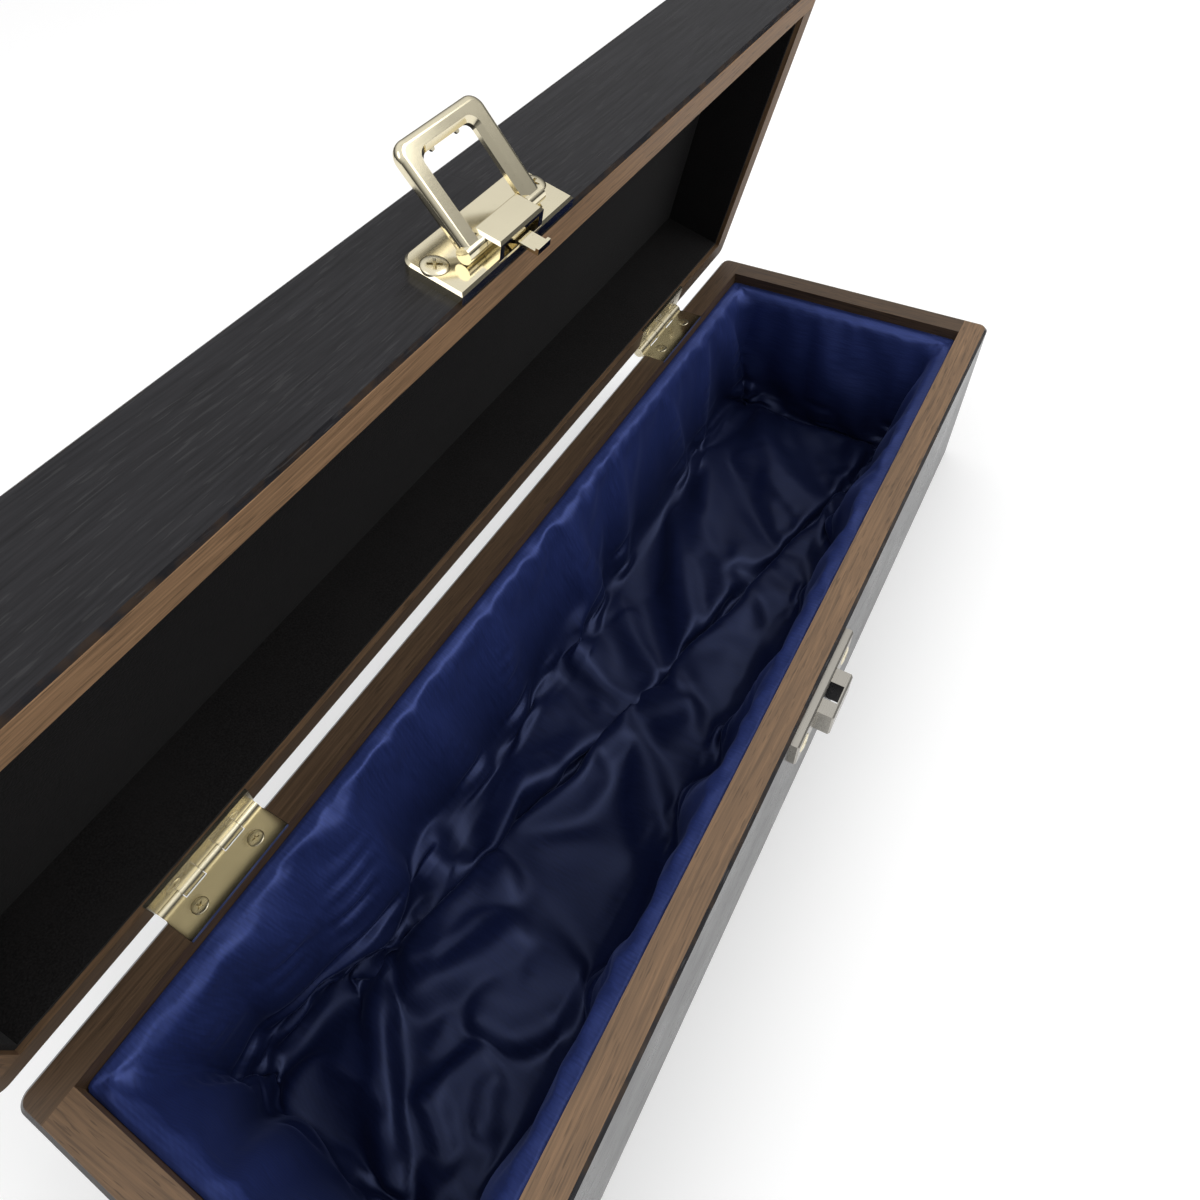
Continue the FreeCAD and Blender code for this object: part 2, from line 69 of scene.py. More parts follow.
# Boards: nodes, on the lid, grain across, seed of the grain, tone of the bare wood, gloss of the stain. The
# tone is painted light and shade on the brown rims and inner walls: above 1 it lightens boards that face the
# light, below 1 it darkens boards in shade.
BOARDS = {
    "base_front_stain": (("base_front_wall", "base_bottom_panel"), False, False, 0.0, 1.1, 0.5),
    "base_back_stain_painted_shade": (("base_back_wall",), False, False, 1.7, 0.5, 0.5),
    "base_near_stain": (("base_left_end",), False, True, 3.1, 0.95, 0.5),
    "base_far_stain_painted_shade": (("base_right_end",), False, True, 4.4, 0.45, 0.5),
    "lid_front_stain_painted_light": (("lid_front_wall", "lid_top_panel"), True, False, 7.7, 1.5, 0.2),
    "lid_back_stain_painted_shade": (("lid_back_wall",), True, False, 8.9, 0.7, 0.2),
    "lid_end_stain": (("lid_left_end", "lid_right_end"), True, True, 5.2, 1.0, 0.2),
}
LID_LINING = ("lid_lining_panel", "lid_lining_front", "lid_lining_back", "lid_lining_left",
              "lid_lining_right")
SATIN_NODES = ("satin_floor", "satin_front", "satin_back", "satin_left", "satin_right")
LATCH_METAL = ("latch_plate", "latch_pin", "latch_tongue", "latch_ring")
HINGE_METAL = ("left_hinge_base_leaf", "right_hinge_base_leaf", "left_hinge_lid_leaf", "right_hinge_lid_leaf",
               "left_hinge_pin", "right_hinge_pin")
KEEPER_METAL = ("keeper_plate",)

HINGE_AXIS = Vector((0.0, 0.0597, 0.0682))
LID_OPEN = math.radians(73.7)
RIM_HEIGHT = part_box("base_front_wall")[1][2]
CAVITY_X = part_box("base_right_end")[0][0]
CAVITY_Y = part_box("base_back_wall")[0][1]
LID_RIM = RIM_HEIGHT + 0.4 * MM
LID_INSIDE = LID_RIM + 24 * MM
BED_TOP = RIM_HEIGHT - 4.0 * MM
BED_FOOT = 11.6 * MM

# The cloth settles at ten times its size, where the solver is steadier.
CLOTH_SCALE = 10.0
SETTLE_FRAMES = 30

# Half width, front, back and top of the slot in the keeper, each with a hair to spare.
KEEPER_SLOT = (3.03 * MM, -63.93 * MM, -59.85 * MM, 64.25 * MM)

# Screws: place along the box in mm and roll in degrees.
HINGE_SPOTS = ((-132.1, 24), (-112.9, 71), (112.9, 38), (132.1, 10))
KEEPER_SPOTS = ((-16, 15), (16, 52))
LATCH_SPOTS = ((-18.3, 40), (18.3, 8))

# Crests of the folds on the floor of the bed: points, height, and reach to the left and right, in mm.
FLOOR_FOLDS = (
    (((-130, 41), (-125, 37), (-122, 32), (-121.5, 25), (-123.5, 18), (-127.5, 15.5), (-135, 20.5)),
     5.5, 7, 3.5),
    (((-136, 19.5), (-130, 13), (-119, 4), (-108, -3), (-100.5, -8.5), (-94, -12), (-86, -14)), 6, 9, 4),
    (((-158, 31), (-152.5, 23), (-150, 13.5), (-149.5, 4.5), (-150, -3.5), (-152, -12)), 5.5, 4, 9),
    (((-88, 46), (-86, 35), (-79, 25), (-70, 21)), 4.5, 4, 7),
    (((-98, 30), (-92, 20), (-85.5, 13), (-80, 5), (-79.5, -9)), 5, 4, 8),
    (((-118, -9), (-116.5, -17), (-116, -26), (-111, -31.5), (-105, -34.5), (-94, -35), (-84, -34)),
     4.5, 12, 1.5),
    (((-143, -11), (-136, -13), (-126.5, -16.5), (-118, -21)), 3.8, 3, 5),
    (((-139, -31), (-130, -24), (-122, -25)), 3.2, 3, 4),
    (((-168, -8), (-163, -24), (-152, -34), (-140, -40)), 4, 6, 4),
    (((-66, 40), (-46, 25), (-30, 6), (-16, -18), (-10, -38)), 4.5, 9, 4),
    (((-58, -38), (-38, -25), (-12, -14), (14, -10)), 4, 4, 8),
    (((-6, 41), (14, 28), (40, 18), (70, 14)), 4.5, 5, 9),
    (((30, -40), (50, -22), (60, 0), (80, 22), (88, 41)), 4.5, 8, 4),
    (((84, -40), (104, -18), (120, 6), (124, 32)), 4.5, 4, 9),
    (((134, -40), (140, -16), (154, 4), (168, 8)), 4, 8, 4),
    (((102, 41), (122, 28), (146, 22), (168, 26)), 4.5, 4, 8),
)

# Folds that hang down the walls of the bed: wall, place at the top and at the foot, height and reach, in mm.
WALL_FOLDS = (
    ("back", -93, -127, 6.0, 16), ("back", -116, -146, 4.5, 14), ("back", -150, -160, 4.0, 8),
    ("back", -62, -54, 4.5, 8), ("back", -22, -34, 4.5, 8),
    ("back", 20, 26, 4.5, 8), ("back", 58, 46, 4.0, 7),
    ("back", 96, 104, 4.5, 8), ("back", 134, 120, 4.5, 7), ("back", 152, 164, 5.0, 7),
    ("front", -140, -150, 4.0, 9), ("front", -84, -96, 4.5, 8), ("front", -40, -30, 4.0, 9),
    ("front", 6, -6, 4.5, 8), ("front", 52, 62, 4.0, 9),
    ("front", 100, 92, 4.5, 8), ("front", 148, 160, 4.5, 7),
    ("right", -30, -40, 4.5, 7), ("right", 4, -4, 3.5, 8), ("right", 30, 39, 4.5, 6),
    ("left", -28, -38, 4.0, 7), ("left", 8, 14, 3.5, 8), ("left", 34, 40, 4.0, 6),
)


class WineBoxSizes(bpy.types.PropertyGroup):
    """Sizes that shape the satin, the screws and the stage."""

    satin_slack: bpy.props.FloatProperty(
        name="Satin slack", description="Share by which the satin is cut larger than the bed it lies in",
        default=0.03, min=0.0, max=0.4, subtype="FACTOR")
    satin_step: bpy.props.FloatProperty(
        name="Satin step", description="Size of the squares that the satin is simulated with",
        default=2.8 * MM, unit="LENGTH")
    satin_thickness: bpy.props.FloatProperty(
        name="Satin thickness", description="Thickness of the cloth", default=0.3 * MM, unit="LENGTH")
    wadding: bpy.props.FloatProperty(
        name="Wadding", description="Thickness of the wadding behind the satin on the walls",
        default=4.4 * MM, unit="LENGTH")
    hinge_head: bpy.props.FloatProperty(
        name="Hinge screw head", description="Radius of a hinge screw's head", default=2.2 * MM, unit="LENGTH")
    plate_head: bpy.props.FloatProperty(
        name="Plate screw head", description="Radius of a latch or keeper screw's head",
        default=3.1 * MM, unit="LENGTH")
    floor_size: bpy.props.FloatProperty(
        name="Floor size", description="Width of the pale floor", default=12.0, unit="LENGTH")


class WineBoxColours(bpy.types.PropertyGroup):
    """Colours of the finishes."""

    stain: bpy.props.FloatVectorProperty(
        name="Black stain", description="Colour of the stained outside of the case",
        default=(0.0085, 0.0082, 0.0098), subtype="COLOR", size=3)
    bare_wood: bpy.props.FloatVectorProperty(
        name="Oiled rim", description="Colour of the brown rims and of the inside of the walls",
        default=(0.190, 0.113, 0.060), subtype="COLOR", size=3)
    satin: bpy.props.FloatVectorProperty(
        name="Satin", description="Colour of the blue satin", default=(0.017, 0.027, 0.105),
        subtype="COLOR", size=3)
    flock: bpy.props.FloatVectorProperty(
        name="Flock", description="Colour of the flocked lining of the lid", default=(0.0065, 0.006, 0.006),
        subtype="COLOR", size=3)
    champagne: bpy.props.FloatVectorProperty(
        name="Champagne nickel", description="Colour of the latch and the hinges", default=(0.79, 0.72, 0.53),
        subtype="COLOR", size=3)
    silver: bpy.props.FloatVectorProperty(
        name="Silver nickel", description="Colour of the keeper", default=(0.40, 0.38, 0.34),
        subtype="COLOR", size=3)
    paper: bpy.props.FloatVectorProperty(
        name="Floor", description="Colour of the floor", default=(0.9, 0.9, 0.9), subtype="COLOR", size=3)


def sizes():
    return bpy.context.scene.wine_box_sizes


def colours():
    return bpy.context.scene.wine_box_colours


def rgba(colour):
    return (colour[0], colour[1], colour[2], 1.0)


def add(tree, kind, values=None, **settings):
    """Add a node; values sets or links its inputs by name or number."""
    node = tree.nodes.new(kind)
    node.location = (220 * (len(tree.nodes) % 8), -260 * (len(tree.nodes) // 8))
    for key, value in settings.items():
        setattr(node, key, value)
    for key, value in (values or {}).items():
        if isinstance(value, bpy.types.NodeSocket):
            tree.links.new(value, node.inputs[key])
        else:
            node.inputs[key].default_value = value
    return node


def math_node(tree, operation, first, second=0.0, third=0.0, clamp=False):
    values = {0: first, 1: second}
    if operation in ("MULTIPLY_ADD", "COMPARE", "SMOOTH_MIN", "SMOOTH_MAX"):
        values[2] = third
    return add(tree, "ShaderNodeMath", values, operation=operation, use_clamp=clamp).outputs[0]


def spread(tree, value, low, high, to_low=0.0, to_high=1.0, smooth=False):
    """Map a value's range to another range, held at its ends."""
    kind = "SMOOTHSTEP" if smooth else "LINEAR"
    node = add(tree, "ShaderNodeMapRange", {"Value": value}, interpolation_type=kind, clamp=True)
    node.inputs["From Min"].default_value = low
    node.inputs["From Max"].default_value = high
    node.inputs["To Min"].default_value = to_low
    node.inputs["To Max"].default_value = to_high
    return node.outputs["Result"]


def stretch(tree, vector, shares):
    return add(tree, "ShaderNodeVectorMath", {0: vector, 1: shares}, operation="MULTIPLY").outputs[0]


def blend_colour(tree, share, first, second, kind="MIX"):
    node = add(tree, "ShaderNodeMix", {"Factor": share}, data_type="RGBA", blend_type=kind)
    for socket, value in ((node.inputs[6], first), (node.inputs[7], second)):
        if isinstance(value, bpy.types.NodeSocket):
            tree.links.new(value, socket)
        else:
            socket.default_value = value
    return node.outputs[2]


def new_group(name, inputs, outputs):
    """A shader node group with named sockets; returns its tree, its inputs and its end node."""
    tree = bpy.data.node_groups.new(name, "ShaderNodeTree")
    for label, kind, default in inputs:
        socket = tree.interface.new_socket(name=label, in_out="INPUT", socket_type=kind)
        if default is not None:
            socket.default_value = default
    for label, kind in outputs:
        tree.interface.new_socket(name=label, in_out="OUTPUT", socket_type=kind)
    start = tree.nodes.new("NodeGroupInput")
    end = tree.nodes.new("NodeGroupOutput")
    return tree, start.outputs, end.inputs


def grain_group():
    """Fine fibre, short pores and slow figure of open-grained wood that runs along X."""
    if "Open grain" in bpy.data.node_groups:
        return bpy.data.node_groups["Open grain"]
    tree, given, out = new_group(
        "Open grain",
        [("Vector", "NodeSocketVector", None), ("Seed", "NodeSocketFloat", 0.0)],
        [("Fibre", "NodeSocketFloat"), ("Pores", "NodeSocketFloat"), ("Figure", "NodeSocketFloat")])
    waver = add(tree, "ShaderNodeTexNoise", {"Vector": given["Vector"], "Scale": 9.0, "Detail": 1.0})
    drift = add(tree, "ShaderNodeVectorMath", {0: waver.outputs["Color"], 1: (0.0, 0.006, 0.006)},
                operation="MULTIPLY")
    shifted = add(tree, "ShaderNodeVectorMath", {0: given["Vector"], 1: drift.outputs[0]}, operation="ADD")
    seed = add(tree, "ShaderNodeCombineXYZ", {0: given["Seed"], 1: given["Seed"], 2: given["Seed"]})
    moved = add(tree, "ShaderNodeVectorMath", {0: shifted.outputs[0], 1: seed.outputs[0]}, operation="ADD")
    along = stretch(tree, moved.outputs[0], (0.028, 1.0, 1.0))
    fibre = add(tree, "ShaderNodeTexNoise",
                {"Vector": along, "Scale": 1500.0, "Detail": 3.0, "Roughness": 0.62})
    tree.links.new(spread(tree, fibre.outputs["Fac"], 0.28, 0.72), out["Fibre"])
    dashes = stretch(tree, moved.outputs[0], (0.075, 1.0, 1.0))
    pores = add(tree, "ShaderNodeTexNoise",
                {"Vector": dashes, "Scale": 2100.0, "Detail": 1.0, "Roughness": 0.4})
    tree.links.new(spread(tree, pores.outputs["Fac"], 0.62, 0.72, smooth=True), out["Pores"])
    bands = stretch(tree, moved.outputs[0], (0.09, 1.0, 1.0))
    figure = add(tree, "ShaderNodeTexNoise", {"Vector": bands, "Scale": 130.0, "Detail": 2.0})
    tree.links.new(spread(tree, figure.outputs["Fac"], 0.3, 0.7), out["Figure"])
    return tree


def wear_group():
    """A mask of rubbed places: where a surface turns away from the flat faces, broken up by noise."""
    if "Edge wear" in bpy.data.node_groups:
        return bpy.data.node_groups["Edge wear"]
    tree, given, out = new_group(
        "Edge wear",
        [("Vector", "NodeSocketVector", None), ("Normal", "NodeSocketVector", None),
         ("Amount", "NodeSocketFloat", 0.5)],
        [("Mask", "NodeSocketFloat")])
    size = add(tree, "ShaderNodeVectorMath", {0: given["Normal"]}, operation="ABSOLUTE")
    parts = add(tree, "ShaderNodeSeparateXYZ", {0: size.outputs[0]})
    across = math_node(tree, "MAXIMUM", parts.outputs[0], parts.outputs[1])
    flat = math_node(tree, "MAXIMUM", across, parts.outputs[2])
    turned = spread(tree, flat, 0.97, 0.80, smooth=True)
    speckle = add(tree, "ShaderNodeTexNoise", {"Vector": given["Vector"], "Scale": 220.0, "Detail": 4.0})
    broken = spread(tree, speckle.outputs["Fac"], 0.42, 0.66)
    rubbed = math_node(tree, "MULTIPLY", turned, broken)
    tree.links.new(math_node(tree, "MULTIPLY", rubbed, given["Amount"], clamp=True), out["Mask"])
    return tree


def dust_group():
    """Faint dust and handling haze."""
    if "Dust haze" in bpy.data.node_groups:
        return bpy.data.node_groups["Dust haze"]
    tree, given, out = new_group(
        "Dust haze",
        [("Vector", "NodeSocketVector", None), ("Amount", "NodeSocketFloat", 0.3)],
        [("Haze", "NodeSocketFloat")])
    cloud = add(tree, "ShaderNodeTexNoise", {"Vector": given["Vector"], "Scale": 38.0, "Detail": 4.0})
    haze = spread(tree, cloud.outputs["Fac"], 0.35, 0.75)
    tree.links.new(math_node(tree, "MULTIPLY", haze, given["Amount"]), out["Haze"])
    return tree


def new_material(name):
    """An empty material; returns it with its tree and its shader."""
    material = bpy.data.materials.new(name)
    material.use_nodes = True
    tree = material.node_tree
    tree.nodes.clear()
    shader = tree.nodes.new("ShaderNodeBsdfPrincipled")
    shader.location = (2000, 0)
    end = tree.nodes.new("ShaderNodeOutputMaterial")
    end.location = (2320, 0)
    tree.links.new(shader.outputs[0], end.inputs["Surface"])
    return material, tree, shader


def bump(tree, height, strength, distance):
    node = add(tree, "ShaderNodeBump", {"Height": height, "Strength": strength, "Distance": distance})
    return node.outputs["Normal"]


def closed_place(tree, lid):
    """Coordinates and normals as if the lid were shut."""
    source = add(tree, "ShaderNodeTexCoord")
    if not lid:
        return source.outputs["Object"], source.outputs["Normal"]
    turn = Matrix.Rotation(LID_OPEN, 3, "X")
    shift = HINGE_AXIS - turn @ HINGE_AXIS
    place = add(tree, "ShaderNodeMapping", {"Vector": source.outputs["Object"], "Location": shift,
                                            "Rotation": (LID_OPEN, 0, 0)})
    facing = add(tree, "ShaderNodeMapping", {"Vector": source.outputs["Normal"], "Rotation": (LID_OPEN, 0, 0)},
                 vector_type="VECTOR")
    return place.outputs[0], facing.outputs[0]


def wood_material(name, lid, across, seed, tone, gloss):
    """Black stain outside with pale pores, brown oiled rims and inner walls, and rubbed edges; the brown is
    scaled by tone, which paints light and shade for each board.
    """
    material, tree, shader = new_material(name)
    place, facing = closed_place(tree, lid)
    run = place
    if across:
        run = add(tree, "ShaderNodeMapping", {"Vector": place, "Rotation": (0, 0, math.radians(90))}).outputs[0]
    grain = add(tree, "ShaderNodeGroup", node_tree=grain_group())
    tree.links.new(run, grain.inputs["Vector"])
    grain.inputs["Seed"].default_value = seed
    spot = add(tree, "ShaderNodeSeparateXYZ", {0: place})
    depth = math_node(tree, "ABSOLUTE", spot.outputs[1])
    reach = math_node(tree, "ABSOLUTE", spot.outputs[0])
    inside = math_node(tree, "MULTIPLY", math_node(tree, "LESS_THAN", depth, CAVITY_Y + 0.06 * MM),
                       math_node(tree, "LESS_THAN", reach, CAVITY_X + 0.06 * MM))
    if lid:
        rim = math_node(tree, "LESS_THAN", spot.outputs[2], LID_RIM + 0.12 * MM)
        within = math_node(tree, "LESS_THAN", spot.outputs[2], LID_INSIDE)
    else:
        rim = math_node(tree, "GREATER_THAN", spot.outputs[2], RIM_HEIGHT - 0.12 * MM)
        within = math_node(tree, "GREATER_THAN", spot.outputs[2], 6 * MM)
    bare = math_node(tree, "MAXIMUM", rim, math_node(tree, "MULTIPLY", inside, within))
    dust = add(tree, "ShaderNodeGroup", {"Vector": place, "Amount": 0.35}, node_tree=dust_group())
    wear = add(tree, "ShaderNodeGroup", {"Vector": place, "Normal": facing, "Amount": 0.5},
               node_tree=wear_group())

    stain = colours().stain
    pale_stain = [2.1 * value + 0.006 for value in stain]
    dark = blend_colour(tree, grain.outputs["Fibre"], rgba(stain), rgba(pale_stain))
    pored = math_node(tree, "MULTIPLY", grain.outputs["Pores"], 0.35)
    dark = blend_colour(tree, pored, dark, rgba([value + 0.045 for value in stain]))
    dark = blend_colour(tree, wear.outputs["Mask"], dark, rgba([0.35 * value for value in colours().bare_wood]))
    # Painted light and shade: tone lightens or darkens this board's brown for how the light falls on it.
    wood = [tone * value for value in colours().bare_wood]
    deep = [0.6 * value for value in wood]
    light = [1.4 * value for value in wood]
    brown = blend_colour(tree, grain.outputs["Fibre"], rgba(deep), rgba(light))
    brown = blend_colour(tree, spread(tree, grain.outputs["Figure"], 0, 1, 0.0, 0.25), brown, rgba(deep))
    brown = blend_colour(tree, math_node(tree, "MULTIPLY", grain.outputs["Pores"], 0.55), brown,
                         rgba([0.3 * value for value in wood]))
    tree.links.new(blend_colour(tree, bare, dark, brown), shader.inputs["Base Color"])

    smooth = math_node(tree, "MULTIPLY_ADD", grain.outputs["Pores"], 0.15, 0.26)
    smooth = math_node(tree, "ADD", smooth, math_node(tree, "MULTIPLY", dust.outputs["Haze"], 0.2))
    dry = math_node(tree, "MULTIPLY_ADD", grain.outputs["Fibre"], 0.12, 0.5)
    rough = add(tree, "ShaderNodeMix", {"Factor": bare, "A": smooth, "B": dry}, data_type="FLOAT")
    tree.links.new(rough.outputs[0], shader.inputs["Roughness"])
    shader.inputs["Specular IOR Level"].default_value = gloss
    hollow = math_node(tree, "SUBTRACT", math_node(tree, "MULTIPLY", grain.outputs["Fibre"], 0.35),
                       grain.outputs["Pores"])
    tree.links.new(bump(tree, hollow, 0.22, 0.06 * MM), shader.inputs["Normal"])
    return material


def nickel_material(name, colour, rough, brushed, slot=False):
    """Polished plating with a faint brushed drift and handling haze; slot darkens the keeper's slot."""
    material, tree, shader = new_material(name)
    place = add(tree, "ShaderNodeTexCoord").outputs["Object"]
    dust = add(tree, "ShaderNodeGroup", {"Vector": place, "Amount": 0.5}, node_tree=dust_group())
    along = stretch(tree, place, (0.06, 1.0, 1.0))
    lines = add(tree, "ShaderNodeTexNoise", {"Vector": along, "Scale": 2600.0, "Detail": 2.0})
    pits = add(tree, "ShaderNodeTexNoise", {"Vector": place, "Scale": 900.0, "Detail": 3.0})
    tone = blend_colour(tree, spread(tree, dust.outputs["Haze"], 0, 0.5, 0.0, 0.35), rgba(colour),
                        rgba([0.72 * value for value in colour]))
    tone = blend_colour(tree, spread(tree, pits.outputs["Fac"], 0.66, 0.8, 0.0, 0.3), tone,
                        rgba([0.45 * value for value in colour]))
    if slot:
        spot = add(tree, "ShaderNodeSeparateXYZ", {0: place})
        half, front, back, top = KEEPER_SLOT
        across = math_node(tree, "LESS_THAN", math_node(tree, "ABSOLUTE", spot.outputs[0]), half)
        behind = math_node(tree, "GREATER_THAN", spot.outputs[1], front)
        before = math_node(tree, "LESS_THAN", spot.outputs[1], back)
        below = math_node(tree, "LESS_THAN", spot.outputs[2], top)
        within = math_node(tree, "MULTIPLY", math_node(tree, "MULTIPLY", across, behind),
                           math_node(tree, "MULTIPLY", before, below))
        tone = blend_colour(tree, within, tone, (0.01, 0.009, 0.01, 1.0))
    tree.links.new(tone, shader.inputs["Base Color"])
    shader.inputs["Metallic"].default_value = 1.0
    drift = math_node(tree, "MULTIPLY_ADD", lines.outputs["Fac"], brushed, rough)
    dulled = math_node(tree, "MULTIPLY_ADD", dust.outputs["Haze"], 0.22, drift)
    tree.links.new(dulled, shader.inputs["Roughness"])
    tree.links.new(bump(tree, pits.outputs["Fac"], 0.03, 0.05 * MM), shader.inputs["Normal"])
    return material


def flock_material():
    """Matte black flock: short pile that catches a little light and shows a fine mottle."""
    material, tree, shader = new_material("flock")
    place = add(tree, "ShaderNodeTexCoord").outputs["Object"]
    pile = add(tree, "ShaderNodeTexNoise", {"Vector": place, "Scale": 2100.0, "Detail": 2.0})
    brushed = add(tree, "ShaderNodeTexNoise", {"Vector": place, "Scale": 55.0, "Detail": 3.0})
    dark = colours().flock
    tone = blend_colour(tree, spread(tree, pile.outputs["Fac"], 0.3, 0.75), rgba([0.5 * v for v in dark]),
                        rgba([2.2 * v + 0.002 for v in dark]))
    tone = blend_colour(tree, spread(tree, brushed.outputs["Fac"], 0.4, 0.7, 0.0, 0.5), tone,
                        rgba([1.9 * v for v in dark]))
    tree.links.new(tone, shader.inputs["Base Color"])
    tree.links.new(spread(tree, pile.outputs["Fac"], 0.2, 0.8, 0.85, 1.0), shader.inputs["Roughness"])
    shader.inputs["Specular IOR Level"].default_value = 0.15
    shader.inputs["Sheen Weight"].default_value = 0.05
    tree.links.new(bump(tree, pile.outputs["Fac"], 0.6, 0.25 * MM), shader.inputs["Normal"])
    return material


def satin_material():
    """Blue satin with painted shade and light: darker low in the bed, lighter up the walls, glossy on the turn
    of a fold, with a fine slanting weave.
    """
    material, tree, shader = new_material("satin")
    flat = add(tree, "ShaderNodeUVMap", uv_map="cut").outputs[0]
    slant = add(tree, "ShaderNodeMapping", {"Vector": flat, "Rotation": (0, 0, math.radians(27))}).outputs[0]
    twill = add(tree, "ShaderNodeTexWave", {"Vector": slant, "Scale": 260.0, "Distortion": 1.2, "Detail": 1.0},
                wave_type="BANDS", bands_direction="X")
    drawn = stretch(tree, flat, (1.0, 0.06, 1.0))
    slubs = add(tree, "ShaderNodeTexNoise", {"Vector": drawn, "Scale": 1800.0, "Detail": 2.0})
    colour = colours().satin
    tone = blend_colour(tree, spread(tree, slubs.outputs["Fac"], 0.3, 0.7), rgba([0.82 * v for v in colour]),
                        rgba([1.18 * v for v in colour]))
    tone = blend_colour(tree, math_node(tree, "MULTIPLY", twill.outputs["Fac"], 0.22), tone,
                        rgba([0.7 * v for v in colour]))
    # Painted shade and light: the colour is scaled by height, from 0.36 on the floor of the bed, where shade
    # falls, to 1.9 at the top of the walls, which face the light.
    spot = add(tree, "ShaderNodeSeparateXYZ", {0: add(tree, "ShaderNodeTexCoord").outputs["Object"]})
    depth = spread(tree, spot.outputs[2], 12 * MM, 60 * MM, 0.36, 1.9, smooth=True)
    tone = blend_colour(tree, 1.0, tone, depth, "MULTIPLY")
    tree.links.new(tone, shader.inputs["Base Color"])
    shader.inputs["Metallic"].default_value = 0.3
    tree.links.new(spread(tree, slubs.outputs["Fac"], 0.2, 0.8, 0.36, 0.46), shader.inputs["Roughness"])
    shader.inputs["Specular IOR Level"].default_value = 0.45
    shader.inputs["Specular Tint"].default_value = (0.55, 0.65, 1.0, 1.0)
    shader.inputs["Sheen Weight"].default_value = 0.12
    shader.inputs["Sheen Roughness"].default_value = 0.35
    shader.inputs["Sheen Tint"].default_value = (0.35, 0.45, 1.0, 1.0)
    threads = math_node(tree, "MULTIPLY_ADD", twill.outputs["Fac"], 0.6, slubs.outputs["Fac"])
    tree.links.new(bump(tree, threads, 0.12, 0.08 * MM), shader.inputs["Normal"])
    return material


def paint(nodes, material):
    """Put one material on every slot of the CAD nodes named."""
    for name in nodes:
        piece = bpy.data.objects[name]
        for place in piece.material_slots:
            place.material = material


def deselect():
    if bpy.context.object and bpy.context.object.mode != "OBJECT":
        bpy.ops.object.mode_set(mode="OBJECT")
    bpy.ops.object.select_all(action="DESELECT")


def activate(piece):
    deselect()
    piece.select_set(True)
    bpy.context.view_layer.objects.active = piece


def settle(piece):
    """Bring a piece's place and turn into its mesh."""
    activate(piece)
    bpy.ops.object.transform_apply(location=True, rotation=True, scale=True)


def pick(piece, kind, test):
    """Select the faces, edges or points of a piece in edit mode that pass a test."""
    bpy.ops.object.mode_set(mode="OBJECT")
    mesh = piece.data
    for group in (mesh.vertices, mesh.edges, mesh.polygons):
        group.foreach_set("select", [False] * len(group))
    chosen = {"VERT": mesh.vertices, "EDGE": mesh.edges, "FACE": mesh.polygons}[kind]
    for item in chosen:
        item.select = bool(test(item))
    bpy.ops.object.mode_set(mode="EDIT")
    bpy.ops.mesh.select_mode(type=kind)


def middle(mesh, edge):
    first, second = edge.vertices
    return (mesh.vertices[first].co + mesh.vertices[second].co) / 2


class WINEBOX_OT_stain_walls(bpy.types.Operator):
    """Stain the case black outside and leave its rims and inner walls brown"""

    bl_idname = "winebox.stain_walls"
    bl_label = "Stain the walls"

    def execute(self, context):
        # Each board's tone paints light and shade into its brown rims and inner walls.
        for name, (nodes, lid, across, seed, tone, gloss) in BOARDS.items():
            paint(nodes, wood_material(name, lid, across, seed, tone, gloss))
        return {"FINISHED"}


class WINEBOX_OT_flock_lid(bpy.types.Operator):
    """Line the lid with black flock"""

    bl_idname = "winebox.flock_lid"
    bl_label = "Flock the lid"

    def execute(self, context):
        paint(LID_LINING, flock_material())
        return {"FINISHED"}


class WINEBOX_OT_plate_hardware(bpy.types.Operator):
    """Plate the latch, the hinges and the keeper"""

    bl_idname = "winebox.plate_hardware"
    bl_label = "Plate the hardware"

    def execute(self, context):
        gold = colours().champagne
        paint(LATCH_METAL, nickel_material("latch_nickel", gold, rough=0.07, brushed=0.05))
        paint(HINGE_METAL, nickel_material("hinge_nickel", gold, rough=0.13, brushed=0.08))
        keeper = nickel_material("keeper_nickel", colours().silver, rough=0.18, brushed=0.2, slot=True)
        paint(KEEPER_METAL, keeper)
        return {"FINISHED"}


def cross_cutter(width, reach, depth):
    """Two tapered bars that cut a cross recess."""
    bars = []
    for angle in (0, 90):
        deselect()
        bpy.ops.mesh.primitive_cube_add(size=1, location=(0, 0, 0.5 * MM - depth / 2))
        bar = bpy.context.object
        bar.scale = (2 * reach, width, depth + 1 * MM)
        bar.rotation_euler = (0, 0, math.radians(angle))
        settle(bar)
        pick(bar, "FACE", lambda face: face.normal.z < -0.9)
        bpy.ops.transform.resize(value=(0.45, 0.45, 1))
        bpy.ops.object.mode_set(mode="OBJECT")
        bars.append(bar)
    activate(bars[0])
    hold = bars[0].modifiers.new("second bar", "BOOLEAN")
    hold.operation = "UNION"
    hold.object = bars[1]
    bpy.ops.object.modifier_apply(modifier=hold.name)
    bpy.data.objects.remove(bars[1])
    return bars[0]


